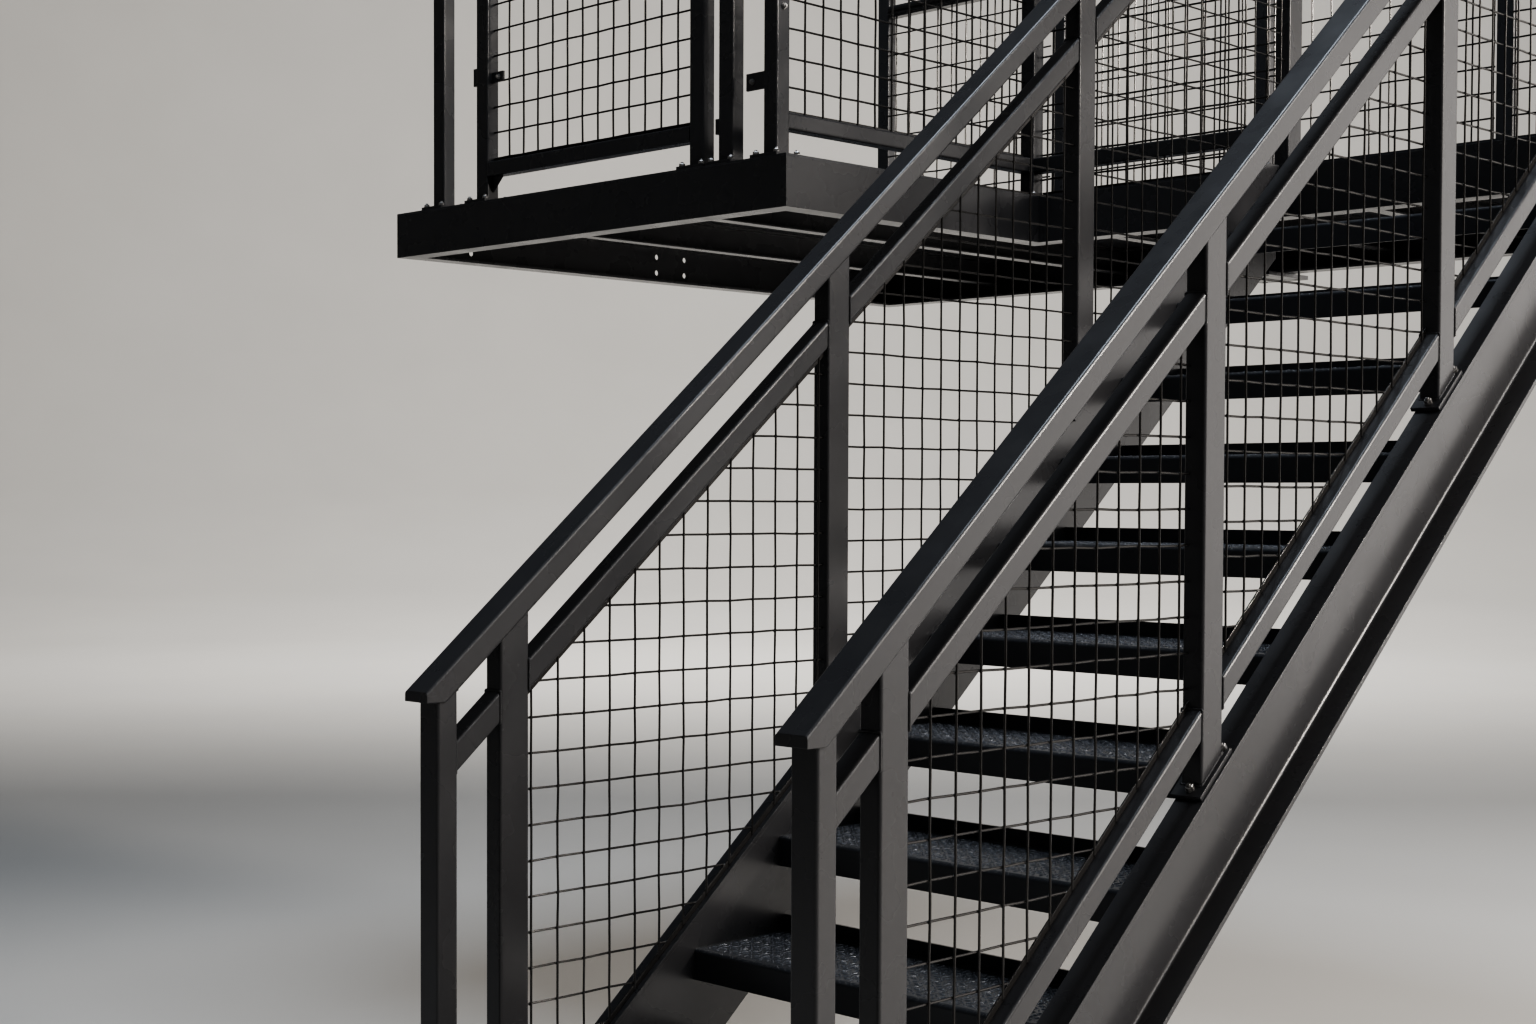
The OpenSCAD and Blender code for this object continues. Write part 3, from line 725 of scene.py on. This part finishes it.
class STAIR_OT_bolts(bpy.types.Operator):
    """Bolt the posts' base plates down"""
    bl_idname = "stair.bolts"
    bl_label = "Fit the bolts"

    def execute(self, context):
        size = context.scene.stair_detail.bolt
        bm = bmesh.new()
        for side in SIDES:
            stands = flight_stands(side)
            along = BASE_L / 2 - size * SLOPE_EDGE
            for _, y, _, _ in stands[:-1]:
                hex_bolt(bm, on_slope(side, LOWER_OUT, y, -along), size)
                hex_bolt(bm, on_slope(side, UPPER_OUT, y, along), size)
            deck_bolts(bm, *stands[-1][:2], size)
        for x, y, _, _ in deck_stands():
            deck_bolts(bm, x, y, size)
        smooth(piece("base_bolts", bm, "zinc"), math.radians(30))
        return {"FINISHED"}


def deck_bolts(bm, x, y, size):
    """Four bolts at the corners of a base plate on the deck."""
    reach = DECK_BASE / 2 - size * DECK_EDGE
    for i in (-1, 1):
        for j in (-1, 1):
            hex_bolt(bm, Matrix.Translation((x + i * reach, y + j * reach, DECK_Z + BASE_T)), size)


class STAIR_OT_clips(bpy.types.Operator):
    """Fit the lugs and clips on the balcony's posts"""
    bl_idname = "stair.clips"
    bl_label = "Fit the clips"

    def execute(self, context):
        d = context.scene.stair_detail
        mids = [post_middle(box) for box in solids("posts_balcony")]
        panel_post, gap_post, corner = [mids[i].x for i in (1, 3, 4)]
        row, half = mids[0].y, GUARD_POST / 2
        bm, bolts = bmesh.new(), bmesh.new()

        def lug(face, measures, thick):
            reach, low, high = measures
            left, right = sorted((face, face + reach))
            block(bm, Vector((left, row - thick / 2, DECK_Z + low)),
                  Vector((right, row + thick / 2, DECK_Z + high)))

        def bolt(face, measures, y, turn):
            reach, z = measures
            hex_bolt(bolts, Matrix.Translation((face + reach, y, DECK_Z + z)) @ turn, d.bolt * CLIP_BOLT)

        to_front, to_right = Matrix.Rotation(math.pi / 2, 4, "X"), Matrix.Rotation(math.pi / 2, 4, "Y")
        panel_left, panel_right = panel_post - half, panel_post + half
        corner_left, corner_right = corner - CORNER / 2, corner + CORNER / 2
        lug(panel_left, PANEL_LUG, LUG_T)
        lug(panel_right, PANEL_CLIP, d.clip)
        bolt(panel_right, PANEL_BOLT, row - d.clip / 2, to_front)
        lug(gap_post - half, GAP_LUG, LUG_T)
        lug(corner_left, CORNER_CLIP, d.clip)
        bolt(corner_left, CORNER_BOLT, row - d.clip / 2, to_front)
        lug(corner_left, CORNER_LUG, SMALL_LUG_T)
        bolt(corner_right, SIDE_BOLT, row, to_right)
        top = DECK_Z + BASE_T + RAIL_GAP
        verts = block(bm, Vector((panel_right, row - d.clip / 2, top - GUSSET)),
                      Vector((panel_right + GUSSET, row + d.clip / 2, top)))
        for v in verts:
            if v.co.x > panel_right + GUSSET / 2 and v.co.z < top - GUSSET / 2:
                v.co.z = top - GUSSET_TIP
        piece("panel_clips", bm, "satin paint")
        smooth(piece("clip_bolts", bolts, "zinc"), math.radians(30))
        return {"FINISHED"}


class STAIR_OT_tears(bpy.types.Operator):
    """Raise the pattern of tears on treads and decks"""
    bl_idname = "stair.tears"
    bl_label = "Raise the tread pattern"

    def execute(self, context):
        d = context.scene.stair_detail
        for name in TREADS:
            low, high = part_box(name)
            top = low.z + TREAD_FRONT
            tear_field("tears_" + name.removeprefix("tread_"),
                       Vector((low.x + TREAD_SIDE, low.y + TREAD_FOLD, top)),
                       Vector((high.x - TREAD_SIDE, high.y - TREAD_BACK, top)), d)
        for name in ("deck_balcony", "deck_landing", "deck_head"):
            low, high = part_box(name)
            tear_field("tears_" + name, Vector((low.x + DECK_MARGIN, low.y + DECK_MARGIN, high.z)),
                       Vector((high.x - DECK_MARGIN, high.y - DECK_MARGIN, high.z)), d)
        return {"FINISHED"}


def repeat(bm, faces, start, step, count):
    """Repeats faces along a step until there are so many, by doubling what is there."""
    way, length, have = step.normalized(), step.length, 1
    while have < count:
        take = min(have, count - have)
        limit = start.dot(way) + (take - 0.5) * length
        source = [f for f in faces if take == have or f.calc_center_median().dot(way) < limit]
        new = bmesh.ops.duplicate(bm, geom=source)["geom"]
        bmesh.ops.translate(bm, verts=[g for g in new if isinstance(g, bmesh.types.BMVert)], vec=step * have)
        faces = faces + [g for g in new if isinstance(g, bmesh.types.BMFace)]
        have += take
    return faces


def tear_field(name, low, high, d):
    """Raised tears that wander within a cell of a few, and cells that repeat over the field."""
    bm = bmesh.new()
    pitch = d.tear_pitch
    size = (d.tear_length / 2, d.tear_width / 2, d.tear_height, 1.0)
    rng = random.Random(TEAR_SEED)
    nx = int((high.x - low.x - d.tear_length) / pitch) + 1
    ny = int((high.y - low.y - d.tear_length) / pitch) + 1
    corner = (low + high) / 2 - Vector(((nx - 1) * pitch / 2, (ny - 1) * pitch / 2, 0))
    for i in range(CELL):
        for j in range(CELL):
            start = corner + Vector((i * pitch, j * pitch, 0))
            turn = math.radians((TURN if (i + j) % 2 else -TURN) + rng.uniform(-TURN_STRAY, TURN_STRAY))
            shift = [rng.uniform(-PLACE_STRAY, PLACE_STRAY) * pitch for _ in range(2)]
            if i >= nx or j >= ny:
                continue
            shape = Matrix.Translation(start + Vector((*shift, 0))) @ Matrix.Rotation(turn, 4, "Z")
            shape = shape @ Matrix.Diagonal(size) @ Matrix.Translation((0, 0, 0.5))
            verts = bmesh.ops.create_cone(bm, cap_ends=True, segments=6, radius1=1.0, radius2=TEAR_TOP,
                                          depth=1.0, matrix=shape)["verts"]
            faces = list(dict.fromkeys(f for v in verts for f in v.link_faces))
            base = min(faces, key=lambda f: f.calc_center_median().z)
            bmesh.ops.delete(bm, geom=[base], context="FACES_ONLY")
            faces = [f for f in faces if f.is_valid]
            row = repeat(bm, faces, start, Vector((CELL * pitch, 0, 0)), (nx - 1 - i) // CELL + 1)
            repeat(bm, row, start, Vector((0, CELL * pitch, 0)), (ny - 1 - j) // CELL + 1)
    smooth(piece(name, bm, "worn tears"), math.radians(50))


def area_light(name, place, aim, size, power, colour):
    """A soft rectangular light that the camera doesn't see."""
    data = bpy.data.lights.new(name, "AREA")
    data.shape = "RECTANGLE"
    data.size, data.size_y = size
    data.energy = power
    data.color = colour
    obj = bpy.data.objects.new(name, data)
    bpy.context.scene.collection.objects.link(obj)
    obj.location = place
    obj.rotation_euler = (Vector(aim) - Vector(place)).to_track_quat("-Z", "Y").to_euler()
    obj.visible_camera = False


def lay_floor(scene):
    """A wide floor that rises to a bowl behind the stair."""
    bm = bmesh.new()
    verts = [bm.verts.new((x, 0.0, z)) for x, z in BOWL]
    edges = [bm.edges.new(pair) for pair in zip(verts, verts[1:])]
    bmesh.ops.spin(bm, geom=verts + edges, cent=(0, 0, 0), axis=(0, 0, 1), angle=math.tau, steps=BOWL_STEPS)
    bmesh.ops.remove_doubles(bm, verts=bm.verts, dist=SAME_PLACE)
    mesh = bpy.data.meshes.new("floor")
    bm.to_mesh(mesh)
    bm.free()
    mesh.polygons.foreach_set("use_smooth", [True] * len(mesh.polygons))
    floor = bpy.data.objects.new("floor", mesh)
    scene.collection.objects.link(floor)
    mesh.materials.append(finish("studio floor"))


def set_lights(scene):
    """The studio's lights, and a faint light from all round."""
    world = bpy.data.worlds.new("studio")
    world.use_nodes = True
    background = world.node_tree.nodes["Background"].inputs
    background["Color"].default_value = WORLD_COLOUR
    background["Strength"].default_value = WORLD_STRENGTH
    scene.world = world
    for name, (place, aim, size, power, colour) in LIGHTS.items():
        area_light(name, place, aim, size, power, colour)


def set_camera(scene):
    """The camera at the photograph's view."""
    view = scene.stair_view
    data = bpy.data.cameras.new("camera")
    data.lens = view.lens
    data.shift_x, data.shift_y = view.shift_x, view.shift_y
    camera = bpy.data.objects.new("camera", data)
    scene.collection.objects.link(camera)
    camera.matrix_world = (
        Matrix.Translation(view.place) @ Matrix.Rotation(view.yaw, 4, "Z")
        @ Matrix.Rotation(math.pi / 2 - view.dip, 4, "X") @ Matrix.Rotation(view.roll, 4, "Z"))
    scene.camera = camera


class STAIR_OT_stage(bpy.types.Operator):
    """Set the floor, the soft studio light and the camera"""
    bl_idname = "stair.stage"
    bl_label = "Set the stage"

    def execute(self, context):
        scene = context.scene
        lay_floor(scene)
        set_lights(scene)
        set_camera(scene)
        scene.view_settings.view_transform = "AgX"
        scene.view_settings.look = "AgX - High Contrast"
        return {"FINISHED"}


OPERATORS = [STAIR_OT_paint, STAIR_OT_mesh, STAIR_OT_welds, STAIR_OT_bolts, STAIR_OT_clips, STAIR_OT_tears,
             STAIR_OT_stage]


class STAIR_PT_panel(bpy.types.Panel):
    """Lists the steps that dress the stair"""
    bl_idname = "STAIR_PT_panel"
    bl_label = "Stair"
    bl_space_type = "VIEW_3D"
    bl_region_type = "UI"
    bl_category = "Stair"

    def draw(self, context):
        for operator in OPERATORS:
            self.layout.operator(operator.bl_idname)
        for group, kind in GROUPS.items():
            box = self.layout.box()
            for key in kind.__annotations__:
                box.prop(getattr(context.scene, group), key)


def register():
    for kind in [*GROUPS.values(), *OPERATORS, STAIR_PT_panel]:
        bpy.utils.register_class(kind)
    for group, kind in GROUPS.items():
        setattr(bpy.types.Scene, group, PointerProperty(type=kind))


def unregister():
    for group in GROUPS:
        delattr(bpy.types.Scene, group)
    for kind in reversed([*GROUPS.values(), *OPERATORS, STAIR_PT_panel]):
        bpy.utils.unregister_class(kind)


def main():
    register()
    bpy.ops.stair.paint()
    bpy.ops.stair.mesh()
    bpy.ops.stair.welds()
    bpy.ops.stair.bolts()
    bpy.ops.stair.clips()
    bpy.ops.stair.tears()
    bpy.ops.stair.stage()


if __name__ == "__main__":
    main()
